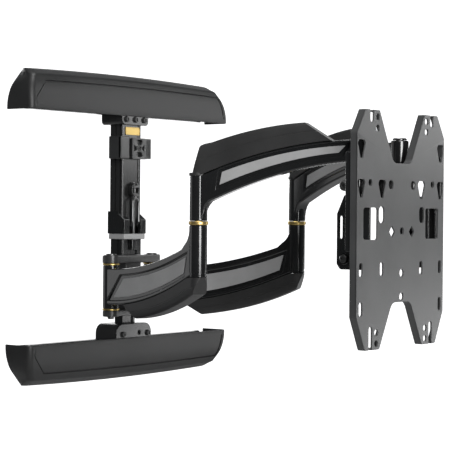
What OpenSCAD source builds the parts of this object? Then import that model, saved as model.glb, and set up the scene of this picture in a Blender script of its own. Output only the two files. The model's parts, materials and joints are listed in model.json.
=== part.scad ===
// Full motion wall mount for a flat screen.
// Two folding arms carry a tilting screen plate in front of a vertical wall rail.
// Frame: X right along the wall, Y into the wall (wall at y = 0), Z up, millimetres.

/* [Wall side] */
// Distance between wall stud screws, left to right
stud_pitch = 406.4; // [380:0.1:410]
// Distance between the upper and lower row of stud screws
stud_rise = 380; // [376:1:384]
// Radius of the stud screw holes
stud_hole_r = 4.5; // [3.5:0.1:5]
// Half width of the wall covers
cover_half = 224.5; // [222:0.5:235]
// Height of the edge of each cover that faces the arms
cover_z = 162.5; // [160:0.5:164]
// How far the covers stand off the wall
cover_depth = 46; // [44:1:50]

/* [Arms] */
// Half of the distance between the two wall pivots
pivot_x = 46; // [44:1:48]
// Distance of the wall pivots from the wall
pivot_y = 38; // [38:0.5:40]
// Length of each arm link between its pivots, seen from above
link_len = 226; // [220:1:232]
// Angle of the lower arms away from straight out
fold_angle = 18.3; // [10:0.1:30]
// Radius of the barrels and posts
barrel_r = 12; // [11:0.5:12]
// Half thickness of the arm bodies
arm_half = 11; // [9:0.5:11]
// Radius of the pivot pins
pin_r = 5; // [4:0.5:5]

/* [Screen plate] */
// Distance from the head pivots to the front of the screen plate
plate_reach = 32; // [31:0.5:34]
// Height of the centre of the screen plate
plate_z = -4; // [-6:1:0]
// Sheet thickness of the screen plate
plate_t = 2.5; // [2:0.1:3]
// Half of the screen hole grid
grid_half = 100; // [100:1:100]
// Radius of the screen holes
screen_hole_r = 4; // [3:0.1:4]

/* [Hidden] */
$fn = 48;

gap = 0.3;              // running gap between faces that slide past each other
fit = 0.05;             // radial clearance of the pivot pins
open_fit = 0.5;         // radial clearance at the right head pivot, which closes the linkage
eps = 0.01;

elbow_x = pivot_x + link_len * sin(fold_angle);
elbow_y = -pivot_y - link_len * cos(fold_angle);
head_y = -pivot_y - 2 * link_len * cos(fold_angle);
plate_y = head_y - plate_reach;
plate_back = plate_y + plate_t;

// Wall rail, as distances from the wall
rail_half = 22;
rail_back = 14;
rail_front = 38;
rail_bottom = 1;
rail_top = 186;
column_half = 14;
column_back = 18;
column_front = 33;
column_bottom = -176;
column_top = 60;
column_gap = 0.5;
bracket_front = 43.5;
wall_plate_t = 3;

// Heights on the carriage
ear_top = -41;
ear_bottom = -53;
foot_top = -121;
foot_bottom = -130;
washer_t = 2.4;
tube_top = -18;
band_top = -10;
sleeve_top = 23;

// Heights at the elbow and the head
elbow_z = 5.3;
elbow_washer_t = 5.2;
upper_post_top = 71;
head_low = 88.5;
head_high = 120.5;

// Tilt axis
tilt_y = head_y + 7.1;
tilt_z = -36;
yoke_half = 70;
bracket_x = 73;
bracket_t = 3.5;

// ---------------------------------------------------------------- outlines

// Corners [x, y, radius] turned into points, each corner rounded by its radius.
function unit(v) = v / norm(v);
function corner(a, b, c, n = 5) =
    let (r = b[2], p = [b[0], b[1]], u = unit([a[0], a[1]] - p), w = unit([c[0], c[1]] - p))
    r <= 0 ? [p] :
    let (half = acos(max(-1, min(1, u * w))) / 2, d = r / tan(half))
    let (m = p + unit(u + w) * r / sin(half), s = p + u * d - m, e = p + w * d - m)
    let (a0 = atan2(s[1], s[0]), turn = ((atan2(e[1], e[0]) - a0 + 540) % 360) - 180)
    [for (i = [0:n]) m + r * [cos(a0 + turn * i / n), sin(a0 + turn * i / n)]];
function rounded(pts) =
    let (k = len(pts))
    [for (i = [0:k - 1], q = corner(pts[(i + k - 1) % k], pts[i], pts[(i + 1) % k])) q];

// The same corners moved inwards by d, for an outline that runs anticlockwise.
function inset(pts, d) =
    let (k = len(pts))
    [for (i = [0:k - 1])
        let (a = pts[(i + k - 1) % k], b = pts[i], c = pts[(i + 1) % k])
        let (u = unit([b[0] - a[0], b[1] - a[1]]), w = unit([c[0] - b[0], c[1] - b[1]]))
        let (nu = [-u[1], u[0]], nw = [-w[1], w[0]], s = 1 + nu * nw)
        [b[0] + (nu[0] + nw[0]) * d / s, b[1] + (nu[1] + nw[1]) * d / s, b[2]]];
function mirrored(pts) = [for (i = [len(pts) - 1:-1:0]) [-pts[i][0], pts[i][1], pts[i][2]]];

// A flat shape drawn in X and Z, extruded from y = y0 to y = y1.
module slab_xz(y0, y1) {
    translate([0, y1, 0]) rotate([90, 0, 0]) linear_extrude(y1 - y0) children();
}

// A flat shape drawn in Y and Z, extruded from x = x0 to x = x1.
module slab_yz(x0, x1) {
    translate([x0, 0, 0]) rotate([90, 0, 90]) linear_extrude(x1 - x0) children();
}

module block(x0, x1, y0, y1, z0, z1) {
    translate([x0, y0, z0]) cube([x1 - x0, y1 - y0, z1 - z0]);
}

module post(x, y, z0, z1, r) {
    translate([x, y, z0]) cylinder(h = z1 - z0, r = r);
}

module across(x0, x1, y, z, r) {
    translate([x0, y, z]) rotate([0, 90, 0]) cylinder(h = x1 - x0, r = r);
}

module outwards(x, y0, y1, z, r) {
    translate([x, y1, z]) rotate([90, 0, 0]) cylinder(h = y1 - y0, r = r);
}

module bottom_side() {
    mirror([0, 0, 1]) children();
}

// ---------------------------------------------------------------- wall plates and covers

module wall_plate() {
    difference() {
        union() {
            slab_xz(-wall_plate_t, 0)
                polygon(rounded([[-211, 165, 4], [211, 165, 4], [211, 198, 6], [194, 216, 8],
                    [-194, 216, 8], [-211, 198, 6]]));
            for (side = [-1, 1]) mirror([side < 0 ? 1 : 0, 0, 0]) {
                block(46, 190, -12, -wall_plate_t + eps, 165, 167.5);
                block(46, 180, -9, -wall_plate_t + eps, 213.5, 216);
            }
        }
        for (side = [-1, 1])
            outwards(side * stud_pitch / 2, -20, 1, stud_rise / 2, stud_hole_r);
        for (x = [-150:50:150])
            if (x != 0) outwards(x, -20, 1, stud_rise / 2, 3.2);
    }
}

cover_top = 224.5;
cover_end_top = 221;
cover_slope_z = cover_z + 3.5;
cover_front_run = 15.5;
cover_back_run = 29;
cover_lean = 19.3;
cover_steps = 10;
cover_wall = 2.2;
function cover_t(i) = i / cover_steps;
function cover_rise(i) = cover_slope_z + (cover_end_top - cover_slope_z) * cover_t(i);
function cover_end(t, run) = cover_half - run * t * t;
function cover_arch(x) = cover_top - (cover_top - cover_end_top) * pow(x / (cover_half - cover_front_run), 2);

// Front outline of a cover, pulled in by d. Its top edge is a low arch.
function cover_front(d) =
    let (side = [for (i = [0:cover_steps - 1]) [cover_end(cover_t(i), cover_front_run) - d, cover_rise(i)]],
        span = cover_half - cover_front_run - d)
    concat([[-cover_half + d, cover_z], [cover_half - d, cover_z]], side,
        [for (i = [8:-1:-8]) [span * i / 8, cover_arch(span * i / 8) - d]],
        [for (i = [cover_steps - 1:-1:0]) [-side[i][0], side[i][1]]]);

// Side profile, from the edge up the sloping front and over the crest to the wall.
function cover_side(d) =
    concat([[1, cover_z], [-cover_depth + d, cover_z]],
        [for (i = [0:7]) let (t = i / 8)
            [-cover_depth + 15 * t * t + d, cover_slope_z + 49 * t - d * t]],
        [for (p = [[-27.5, 218.6], [-23.5, 221.4], [-18, 223.5], [-12, cover_top]])
            [p[0] + 0.8 * d, p[1] - d]],
        [[1, cover_top - d]]);

// The ends lean: at the wall they run in further than at the front.
module cover_lean_cut(d) {
    rotate([0, 0, cover_lean])
        slab_xz(-200, 200)
            polygon(concat([[-420, cover_z - 1], [(cover_half - d) * cos(cover_lean), cover_z - 1]],
                [for (i = [0:cover_steps])
                    [(cover_end(cover_t(i), cover_back_run) - d) * cos(cover_lean),
                        cover_slope_z + (cover_top - cover_slope_z) * cover_t(i)]],
                [[-420, cover_top]]));
}

module cover_solid(d) {
    intersection() {
        slab_xz(-cover_depth - 1, d > 0 ? 1 : 0) polygon(cover_front(d));
        slab_yz(-cover_half, cover_half) polygon(cover_side(d));
        cover_lean_cut(d);
        mirror([1, 0, 0]) cover_lean_cut(d);
    }
}

module cover_shell() {
    difference() {
        cover_solid(0);
        cover_solid(cover_wall);
        block(-cover_half + 20, cover_half - 20, -cover_depth + 3, 1, cover_z - 1, cover_z + 4);
    }
    for (x = [-120, 120])
        difference() {
            block(x - 12, x + 12, -cover_depth + cover_wall - 0.5, -12, 170, 172.5);
            outwards(x, -60, 0, 171, 0.8);
        }
}

module wall_plate_top() { color("#303234") wall_plate(); }
module wall_plate_bottom() { color("#303234") bottom_side() wall_plate(); }
module top_cover() { color("#4b4c4e") cover_shell(); }
module bottom_cover() { color("#444547") bottom_side() cover_shell(); }

// ---------------------------------------------------------------- rail and its brackets

// A folded bracket: a plate in front, two sides back to the wall plate, and a shelf for the rail.
module folded_bracket(half, z_shelf, z_far, corner_r) {
    wall = 3;
    difference() {
        intersection() {
            slab_xz(-bracket_front, -wall_plate_t)
                polygon(rounded([[-half, z_shelf, corner_r], [half, z_shelf, corner_r],
                    [half, z_far, 2], [-half, z_far, 2]]));
            slab_yz(-half, half)
                polygon([[-bracket_front, z_shelf], [-wall_plate_t, z_shelf], [-wall_plate_t, z_far],
                    [-26, z_far], [-bracket_front, 168]]);
        }
        slab_xz(-bracket_front + wall, 1)
            polygon(rounded([[-half + wall, z_shelf + wall, corner_r - wall],
                [half - wall, z_shelf + wall, corner_r - wall],
                [half - wall, z_far + 1, 0], [-half + wall, z_far + 1, 0]]));
        children();
    }
}

module rail_bracket_top() {
    color("#1b1c1e")
        folded_bracket(30, 150, 206, 6) {
            block(-rail_half, rail_half, -rail_front, -rail_back, 140, 160);
            for (x = [-20, 0, 20]) outwards(x, -60, -40, 158, 2.6);
        }
}

module rail_bracket_bottom() {
    color("#1b1c1e")
        bottom_side()
            folded_bracket(40, 142, 206, 14) {
                block(-column_half, column_half, -column_front, -column_back, 130, 150);
                for (x = [-24, 32]) outwards(x, -60, -40, 157.5, 2.6);
                outwards(12, -60, -40, 156, 3.2);
            }
}

// Cap screws with a hexagon socket; the shank goes into the sheet behind the head.
module cap_screw(x, y_face, z, head_r, head_h, shank_r) {
    difference() {
        outwards(x, y_face - head_h, y_face, z, head_r);
        translate([x, y_face - head_h + 1.6, z]) rotate([90, 0, 0])
            cylinder(h = 3, r = head_r * 0.5, $fn = 6);
    }
    outwards(x, y_face - eps, y_face + 5, z, shank_r);
}

module rail_bolts() {
    color("#3a3a3c") {
        for (x = [-20, 0, 20]) cap_screw(x, -bracket_front, 158, 4.4, 3, 2.6);
        for (x = [-24, 32]) cap_screw(x, -bracket_front, -157.5, 4.4, 3, 2.6);
    }
}

// Extruded rail: grooves run down both sides and the front.
module wall_rail() {
    color("#26282a")
        difference() {
            block(-rail_half, rail_half, -rail_front, -rail_back, rail_bottom, rail_top);
            block(-column_half, column_half, -column_front, -column_back,
                rail_bottom - 1, column_top);
            for (side = [-1, 1], y = [-33, -24])
                block(side * rail_half - 2, side * rail_half + 2, y - 1.5, y + 1.5,
                    rail_bottom - 1, rail_top + 1);
            block(11, 14, -rail_front - 1, -rail_front + 1.5, rail_bottom - 1, rail_top + 1);
        }
}

module rail_column() {
    color("#1d1e20")
        difference() {
            block(-column_half, column_half, -column_front, -column_back, column_bottom, column_top);
            block(-column_half + 4, column_half - 4, -column_front - 1, -column_front + 2,
                column_bottom - 1, column_top + 1);
        }
}

// Sheet clamp that wraps the rail; it carries the cable clip.
clamp_low = 100;
clamp_high = 133;
clamp_front = 44;
clip_front = 46.5;
module rail_clamp() {
    color("#2b2d30")
        difference() {
            union() {
                block(-33, -rail_half, -clamp_front, -20, clamp_low, clamp_high);
                block(rail_half, 37, -clamp_front, -20, clamp_low + 1, clamp_high - 2);
                block(-33, -13, -clamp_front, -rail_front, clamp_low, clamp_high);
            }
            for (x = [29:3:35])
                block(x, x + 1.2, -clamp_front - 1, -clamp_front + 1, clamp_low + 3, clamp_high - 4);
            block(-31, -rail_half - 2, -clamp_front + 3, -19, clamp_low - 1, clamp_high + 1);
        }
}

module cable_clip() {
    color("#55565a")
        difference() {
            block(-10, rail_half - eps, -clip_front, -rail_front, clamp_low, clamp_high - 2);
            outwards(6, -clip_front - 1, -rail_front + 1, 116, 3.2);
            for (side = [-1, 1]) {
                block(-4, 16, -clip_front - 1, -clip_front + 3, 116 + side * 10 - 3, 116 + side * 10 + 3);
                block(6 + side * 11 - 2, 6 + side * 11 + 2, -clip_front - 1, -clip_front + 3, 110, 122);
            }
        }
}

module clip_screw() {
    color("#8b8b8d") {
        cap_screw(6, -clip_front, 116, 4.6, 1.8, 3);
        outwards(6, -clip_front, -rail_front, 116, 3.1);
    }
}

module blank_badge() {
    color("#c9a24a")
        block(-17, 15, -rail_front - 1.2, -rail_front, 135.5, 147);
}

// Height adjuster: a bracket on the rail, the screw that lifts the carriage, and its stirrup.
lift_y = -41;
stirrup_y = -44.7;
module lift_bracket() {
    color("#141516")
        difference() {
            block(-9, 9, -46, -rail_front, 45, 62);
            post(0, lift_y, 40, 70, 2);
            block(-5.6, 5.6, -47, -rail_front - 0.5, 50, 57);
        }
}

module lift_screw() {
    color("#9a9a9c") {
        post(0, lift_y, -30, 66, 2);
        translate([0, lift_y, 50]) cylinder(h = 7, r = 2.8, $fn = 6);
    }
}

module lift_stirrup() {
    bend = 7;
    wire_r = 1.3;
    color("#8f9092") {
        for (side = [-1, 1]) post(side * bend, stirrup_y, 8, 35, wire_r);
        translate([0, stirrup_y, 35]) rotate([90, 0, 0]) rotate_extrude(angle = 180)
            translate([bend, 0]) circle(r = wire_r, $fn = 24);
        block(-2, 2, stirrup_y - 1, stirrup_y + 1, 42, 45);
    }
}

// ---------------------------------------------------------------- carriage

module column_hole(z0, z1) {
    block(-column_half - column_gap, column_half + column_gap,
        -column_front - column_gap, -column_back + column_gap, z0, z1);
}

module carriage_sleeve() {
    reach = 25;
    channel = 13;
    front = 44.5;
    color("#1a1b1d")
        difference() {
            block(-reach, reach, -front, -12, band_top, sleeve_top);
            block(-rail_half - 0.5, rail_half + 0.5, -rail_front - 0.5, -rail_back + 0.5,
                band_top - 1, sleeve_top + 1);
            block(-channel, channel, -front - 1, -rail_front, band_top - 1, sleeve_top + 1);
            slab_yz(-reach - 1, reach + 1)
                polygon([[-front - 1, 11], [-front + 0.2, 11], [-28, sleeve_top + 0.5],
                    [-28, sleeve_top + 5], [-front - 1, sleeve_top + 5]]);
        }
}

module sleeve_band() {
    color("#6a6c6f")
        difference() {
            block(-24, 24, -44, -12.5, tube_top, band_top);
            column_hole(tube_top - 1, band_top + 1);
            post(0, lift_y, tube_top - 1, band_top + 1, 2.5);
        }
}

module carriage_tube() {
    color("#1a1b1d")
        difference() {
            union() {
                block(-21.5, 21.5, -39, -15.5, ear_top, tube_top);
                block(-6, 6, -44, -38.5, -34, tube_top);
            }
            column_hole(ear_top - 1, tube_top + 1);
            post(0, lift_y, -40, tube_top + 1, 2.5);
            for (side = [-1, 1])
                block(side * 21.5 - 1.5, side * 21.5 + 1.5, -33, -28, ear_top - 1, tube_top + 1);
        }
}

// One web with an ear above and below each wall pivot.
module pivot_ear(z0, z1, r) {
    difference() {
        union() {
            for (side = [-1, 1]) post(side * pivot_x, -pivot_y, z0, z1, r);
            block(-pivot_x, pivot_x, -pivot_y - 9, -pivot_y + 12, z0, z1);
        }
        for (side = [-1, 1]) post(side * pivot_x, -pivot_y, z0 - 1, z1 + 1, pin_r);
    }
}

module pivot_bracket() {
    color("#17181a")
        difference() {
            union() {
                pivot_ear(ear_bottom, ear_top, barrel_r + 0.8);
                pivot_ear(foot_bottom, foot_top, barrel_r);
                block(-17.5, 17.5, -42, -14.5, foot_bottom + 1, ear_top - 1);
            }
            column_hole(foot_bottom - 1, ear_top + 1);
        }
}

module wall_pin(side) {
    color("#7b7d80") {
        post(side * pivot_x, -pivot_y, -134, ear_top + 0.5, pin_r);
        post(side * pivot_x, -pivot_y, ear_top, ear_top + 2, 8);
    }
}
module wall_pin_left() { wall_pin(-1); }
module wall_pin_right() { wall_pin(1); }

module ring(x, y, z0, z1, r_out, r_in) {
    difference() {
        post(x, y, z0, z1, r_out);
        post(x, y, z0 - 1, z1 + 1, r_in);
    }
}

module wall_washers() {
    color("#c9a24a")
        for (side = [-1, 1]) {
            ring(side * pivot_x, -pivot_y, ear_bottom - washer_t, ear_bottom, 12.6, pin_r);
            ring(side * pivot_x, -pivot_y, foot_top, foot_top + washer_t, 12.6, pin_r);
        }
}

// ---------------------------------------------------------------- arms

// Each arm is drawn with its inner pivot at the origin and its far pivot on +X.
module at_wall_pivot(side) {
    translate([side * pivot_x, -pivot_y, 0]) rotate([0, 0, 270 + side * fold_angle]) children();
}
module at_elbow(side) {
    translate([side * elbow_x, elbow_y, 0]) rotate([0, 0, 270 - side * fold_angle]) children();
}

curve_steps = 12;
function spread(s0, s1, n = curve_steps) = [for (i = [0:n]) s0 + (s1 - s0) * i / n];
function bow(s, start, rise, power) = start + rise * pow(s / link_len, power);

// Heights along the lower arm: top edge, bottom edge, and the lower edge of its cable cover.
function low_top(s) = bow(s, -60, 43, 2.2);
function low_base(s) = bow(s, -113, 51, 2);
function low_cover(s) = bow(s, -132, 42.5, 2.5);

// Heights along the upper arm, measured back from the head pivot.
function up_top(s) = bow(link_len - s, 118.5, -49, 2);
function up_base(s) = bow(link_len - s, 90, -62, 1.8);
function up_cover(s) = 112 + 0.18 * s + 5.8 * max(0, 1 - pow((s - 93) / 72, 2));

function strip(lower, upper) = concat(lower, [for (i = [len(upper) - 1:-1:0]) upper[i]]);

module lower_frame_shape() {
    reach = link_len - barrel_r;
    polygon(concat(
        [for (s = spread(0, link_len)) [s, low_base(s)]],
        [[link_len, -4], [reach, -4], [reach - 1, -12], [reach - 5, -19]],
        [for (s = spread(reach - 12, 0)) [s, low_top(s)]]));
}

module lower_inlay_shape(d) {
    polygon(strip(
        [for (s = spread(36 + d, 206 - d)) [s, low_base(s) + 8.5 + d]],
        [for (s = spread(46 + d, 204 - d)) [s, low_top(s) - 12.5 - d]]));
}

module upper_frame_shape() {
    polygon(concat(
        [[0, 16], [barrel_r, 16], [barrel_r + 1.5, 24], [barrel_r + 6, 33], [barrel_r + 14, 40.5]],
        [for (s = spread(34, link_len)) [s, up_base(s)]],
        [for (s = spread(link_len, 0)) [s, up_top(s)]]));
}

module upper_inlay_shape(d) {
    polygon(strip(
        [for (s = spread(30 + d, 199 - d)) [s, up_base(s) + 13.5 + d]],
        [for (s = spread(33 + d, 210 - d)) [s, up_top(s) - 6 - d]]));
}

inlay_depth = 1.6;
inlay_t = 1.1;

module lower_arm() {
    difference() {
        union() {
            slab_xz(-arm_half, arm_half) lower_frame_shape();
            post(0, 0, foot_top + washer_t + gap, ear_bottom - washer_t - gap, barrel_r);
            post(link_len, 0, low_base(link_len) - 3, elbow_z, barrel_r);
        }
        post(0, 0, -200, 0, pin_r + fit);
        post(link_len, 0, -58, 50, pin_r);
        for (side = [-1, 1])
            translate([0, side * arm_half, 0])
                slab_xz(-inlay_depth, inlay_depth) lower_inlay_shape(0);
    }
}

module upper_arm(head_fit) {
    difference() {
        union() {
            slab_xz(-arm_half, arm_half) upper_frame_shape();
            post(0, 0, elbow_z + elbow_washer_t + gap, upper_post_top, barrel_r);
            post(link_len, 0, head_low, head_high, barrel_r);
        }
        post(0, 0, 0, upper_post_top - 2, pin_r + fit);
        post(link_len, 0, 0, 200, pin_r + head_fit);
        for (side = [-1, 1])
            translate([0, side * arm_half, 0])
                slab_xz(-inlay_depth, inlay_depth) upper_inlay_shape(0);
    }
}

module arm_inlays() {
    for (side = [-1, 1])
        translate([0, side * (arm_half - inlay_depth + inlay_t / 2), 0])
            slab_xz(-inlay_t / 2, inlay_t / 2) children();
}

// Cable covers are open towards the arm and closed on the other three sides.
cable_half = 12;
cable_wall = 2;

module lower_cable_shape(d, open) {
    start = 52 + 2 * d;
    reach = 229.5 - 1.2 * d;
    polygon(concat(
        [for (s = spread(84 + d, reach)) [s, low_cover(s) + d]],
        [for (s = spread(reach + 8, start))
            [s, min(low_base(s), low_base(link_len) - 3.2) + open]]));
}

module lower_cable_cover() {
    difference() {
        slab_xz(-cable_half, cable_half) lower_cable_shape(0, 0);
        slab_xz(-cable_half + cable_wall, cable_half - cable_wall)
            lower_cable_shape(cable_wall, 20);
    }
}

module upper_cable_shape(d, open) {
    far = 149 - d;
    polygon(concat(
        [[-6.5 + 1.5 * d, upper_post_top + 2 - open], [-6.5 + 1.5 * d, upper_post_top + 9],
            [5 + 1.3 * d, 111.5 - d], [17 + d, up_cover(17) - d]],
        [for (s = spread(28, far, 9)) [s, up_cover(s) - d]],
        [[188 - 2.4 * d, up_top(188) + 1.5]],
        [for (s = spread(188 - 2.4 * d, 0))
            [s, max(up_top(s), upper_post_top + 0.2) - open]]));
}

module upper_cable_cover() {
    difference() {
        slab_xz(-cable_half, cable_half) upper_cable_shape(0, 0);
        slab_xz(-cable_half + cable_wall, cable_half - cable_wall)
            upper_cable_shape(cable_wall, 20);
    }
}

module lower_arm_left() { color("#1a1b1d") at_wall_pivot(-1) lower_arm(); }
module lower_arm_right() { color("#1a1b1d") at_wall_pivot(1) lower_arm(); }
module lower_inlays_left() {
    color("#6d7073") at_wall_pivot(-1) arm_inlays() lower_inlay_shape(0.2);
}
module lower_inlays_right() {
    color("#6d7073") at_wall_pivot(1) arm_inlays() lower_inlay_shape(0.2);
}
module lower_cable_cover_left() { color("#3b3c3e") at_wall_pivot(-1) lower_cable_cover(); }
module lower_cable_cover_right() { color("#3b3c3e") at_wall_pivot(1) lower_cable_cover(); }

module upper_arm_left() { color("#1a1b1d") at_elbow(-1) upper_arm(fit); }
module upper_arm_right() { color("#1a1b1d") at_elbow(1) upper_arm(open_fit); }
module upper_inlays_left() {
    color("#6d7073") at_elbow(-1) arm_inlays() upper_inlay_shape(0.2);
}
module upper_inlays_right() {
    color("#6d7073") at_elbow(1) arm_inlays() upper_inlay_shape(0.2);
}
module upper_cable_cover_left() { color("#3b3c3e") at_elbow(-1) upper_cable_cover(); }
module upper_cable_cover_right() { color("#3b3c3e") at_elbow(1) upper_cable_cover(); }

module elbow_pin(side) {
    color("#7b7d80") post(side * elbow_x, elbow_y, -58, upper_post_top - 5, pin_r);
}
module elbow_pin_left() { elbow_pin(-1); }
module elbow_pin_right() { elbow_pin(1); }

module elbow_washer(side) {
    color("#c9a24a")
        ring(side * elbow_x, elbow_y, elbow_z, elbow_z + elbow_washer_t, 13.3, pin_r);
}
module elbow_washer_left() { elbow_washer(-1); }
module elbow_washer_right() { elbow_washer(1); }

// ---------------------------------------------------------------- head

yoke_low = 40;
yoke_high = 84;
module head_yoke() {
    color("#1a1b1d")
        difference() {
            union() {
                block(-yoke_half, yoke_half, head_y - 10, head_y + 12, yoke_low, yoke_high);
                for (side = [-1, 1]) {
                    post(side * pivot_x, head_y, yoke_low, yoke_high + 2, barrel_r);
                    slab_yz(side * (yoke_half - 4) - 4, side * (yoke_half - 4) + 4)
                        polygon(rounded([[tilt_y - 9, tilt_z - 9, 8], [tilt_y + 9, tilt_z - 9, 8],
                            [head_y + 12, yoke_low + 6, 0], [head_y - 10, yoke_low + 6, 0]]));
                }
            }
            for (side = [-1, 1]) post(side * pivot_x, head_y, yoke_low - 1, yoke_high + 3, pin_r);
            across(-100, 100, tilt_y, tilt_z, 4);
            across(-100, 100, head_y + 7, 58, 3);
            block(-30, 30, head_y - 11, head_y - 6, yoke_low + 8, yoke_high - 8);
        }
}

module head_pin(side) {
    color("#1f2022") {
        post(side * pivot_x, head_y, yoke_low, head_high + 0.6, pin_r);
        post(side * pivot_x, head_y, head_high + 0.6, head_high + 3.4, 9.5);
    }
}
module head_pin_left() { head_pin(-1); }
module head_pin_right() { head_pin(1); }

module head_washers() {
    color("#c9a24a")
        for (side = [-1, 1])
            ring(side * pivot_x, head_y, yoke_high + 2, head_low - gap, 12, pin_r);
}

// Round tension knobs on the ends of the yoke, with a dimple in the face.
module tension_knob(side) {
    color("#202124")
        mirror([side < 0 ? 1 : 0, 0, 0]) {
            difference() {
                translate([yoke_half + 9, head_y + 7, 58]) rotate([0, 90, 0]) rotate_extrude()
                    polygon([[0, -5], [5.5, -5], [7, -3], [7, 2.4], [5.6, 4.6], [0, 4.6]]);
                across(yoke_half + 12, yoke_half + 20, head_y + 7, 58, 2.2);
            }
            across(yoke_half - 12, yoke_half + 5, head_y + 7, 58, 3 - fit);
        }
}
module tension_knob_left() { tension_knob(-1); }
module tension_knob_right() { tension_knob(1); }

module tilt_pins() {
    color("#7b7d80")
        for (side = [-1, 1])
            across(side > 0 ? yoke_half - 8 : -bracket_x - bracket_t - 1,
                side > 0 ? bracket_x + bracket_t + 1 : -yoke_half + 8, tilt_y, tilt_z, 4);
}

// Side plates behind the screen plate; each turns on a tilt pin.
function bracket_outline() = [
    [plate_back, -50, 2], [head_y + 15, -50, 4], [head_y + 20.2, -43, 3],
    [head_y + 20.2, 22, 4], [head_y + 9.3, 46, 3], [plate_back, 46, 2]
];

module tilt_bracket(side) {
    flange_x = 92;
    color("#1e1f21")
        mirror([side < 0 ? 1 : 0, 0, 0])
            difference() {
                union() {
                    slab_yz(bracket_x, bracket_x + bracket_t) polygon(rounded(bracket_outline()));
                    block(bracket_x, flange_x, plate_back, plate_back + plate_t, -50, -16);
                    block(bracket_x, flange_x, plate_back, plate_back + plate_t, 34, 46);
                    across(bracket_x + bracket_t - eps, bracket_x + bracket_t + 2.5,
                        tilt_y, tilt_z, 7.5);
                }
                across(0, 200, tilt_y, tilt_z, 4 + fit);
                across(0, 200, head_y + 3, -19.5, 2.4);
                for (z = [-8, 17]) across(0, 200, head_y + 14, z, 2.4);
                block(0, 200, head_y + 11.6, head_y + 16.4, -8, 17);
                for (z = [-32, 40]) outwards(84, plate_y - 5, plate_back + 10, z, 2.5);
            }
}
module tilt_bracket_left() { tilt_bracket(-1); }
module tilt_bracket_right() { tilt_bracket(1); }

module tilt_bolts() {
    color("#3a3a3c")
        for (side = [-1, 1])
            mirror([side < 0 ? 1 : 0, 0, 0])
                difference() {
                    across(bracket_x + bracket_t + 2.5, bracket_x + bracket_t + 6, tilt_y, tilt_z, 5.4);
                    translate([bracket_x + bracket_t + 4.4, tilt_y, tilt_z]) rotate([0, 90, 0])
                        cylinder(h = 4, r = 2.6, $fn = 6);
                    across(0, bracket_x + bracket_t + 3.4, tilt_y, tilt_z, 4 + fit);
                }
}

// ---------------------------------------------------------------- screen plate

// Right half of the plate outline about its own centre, running anticlockwise from the bottom.
plate_half = [
    [23, -89, 14], [54, -148, 3], [72, -148, 0], [72, -118, 3.9], [80, -118, 3.9], [80, -148, 0],
    [89, -148, 5], [110, -105, 8], [110, 129, 8], [91, 159, 5],
    [80, 159, 0], [80, 143, 3.9], [72, 143, 3.9], [72, 159, 0], [57, 159, 3], [22, 92, 14]
];
plate_outline = concat(plate_half, mirrored(plate_half));
// The same outline without the ear slots, for the folded rim.
rim_half = [
    [23, -89, 14], [54, -148, 3], [89, -148, 5], [110, -105, 8], [110, 129, 8], [91, 159, 5],
    [57, 159, 3], [22, 92, 14]
];
rim_outline = concat(rim_half, mirrored(rim_half));
rim_depth = 11;

module obround(u, v0, v1, r) {
    translate([u, v0 + r]) circle(r = r);
    translate([u, v1 - r]) circle(r = r);
    translate([u - r, v0 + r]) square([2 * r, v1 - v0 - 2 * r]);
}

// Keyhole that is wide at the top and narrows to the screw's own width.
module keyhole(u, v) {
    wide = 9;
    translate([u, v]) circle(r = screen_hole_r);
    polygon([[u - screen_hole_r, v], [u + screen_hole_r, v], [u + wide, v + 14],
        [u + wide, v + 16], [u + wide - 3, v + 20], [u - wide + 3, v + 20],
        [u - wide, v + 16], [u - wide, v + 14]]);
}

module plate_holes() {
    half = grid_half / 2;
    for (side = [-1, 1]) {
        keyhole(side * grid_half, grid_half);
        keyhole(side * grid_half, half);
        keyhole(side * half, half);
        for (u = [half, grid_half]) obround(side * u, -half - screen_hole_r, -half + 14, screen_hole_r);
        obround(side * grid_half, -grid_half - screen_hole_r, -grid_half + 14, screen_hole_r);
        translate([side * 79, 66]) circle(r = 4.5);
        translate([side * 28, 64]) circle(r = 6);
        obround(side * 51, 14, 36, 6.5);
        for (v = [150, 136, -126, -140]) translate([side * 62, v]) circle(r = 4.2);
        polygon([[side * 18, 3], [side * 25, 11], [side * 31.5, 3], [side * 25, -5]]);
        polygon(rounded([[side * 78 - 17, -7, 4], [side * 78 + 17, -7, 4],
            [side * 78 + 17, 34, 4], [side * 78 - 17, 34, 4]]));
    }
    for (v = [4, -51, -82]) translate([0, v]) circle(r = 5);
}

module screen_plate() {
    color("#5a5b5d")
        translate([0, 0, plate_z]) {
            difference() {
                slab_xz(plate_y, plate_back) polygon(rounded(plate_outline));
                slab_xz(plate_y - 1, plate_back + 1) plate_holes();
            }
            difference() {
                slab_xz(plate_back - eps, plate_y + rim_depth) polygon(rounded(rim_outline));
                slab_xz(plate_back - 1, plate_y + rim_depth + 1)
                    polygon(rounded(inset(rim_outline, plate_t)));
                for (side = [-1, 1])
                    block(side * 76 - 4, side * 76 + 4, plate_back, 0, -170, 170);
            }
            for (side = [-1, 1], v = [34, -9])
                block(side * 84.5 - 6, side * 84.5 + 6, plate_back - eps, plate_y + 6,
                    v, v + 2);
        }
}

// Stiffening channels behind the left and right edges of the plate.
channel_low = -26;
channel_high = 100;
channel_rivets = [-18, 28, 78];
module plate_channel(side) {
    outer = 107.3;
    color("#2a2b2d")
        mirror([side < 0 ? 1 : 0, 0, 0]) {
            block(outer - 2.4, outer, plate_back, head_y - 12, channel_low, channel_high);
            difference() {
                block(94, outer - 2, plate_back, plate_back + plate_t, channel_low, channel_high);
                translate([0, 0, plate_z])
                    slab_xz(plate_y, plate_back + 10) plate_holes();
                for (z = channel_rivets) outwards(99, plate_y - 5, plate_back + 10, z, 2.5);
            }
        }
}
module plate_channel_left() { plate_channel(-1); }
module plate_channel_right() { plate_channel(1); }

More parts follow.
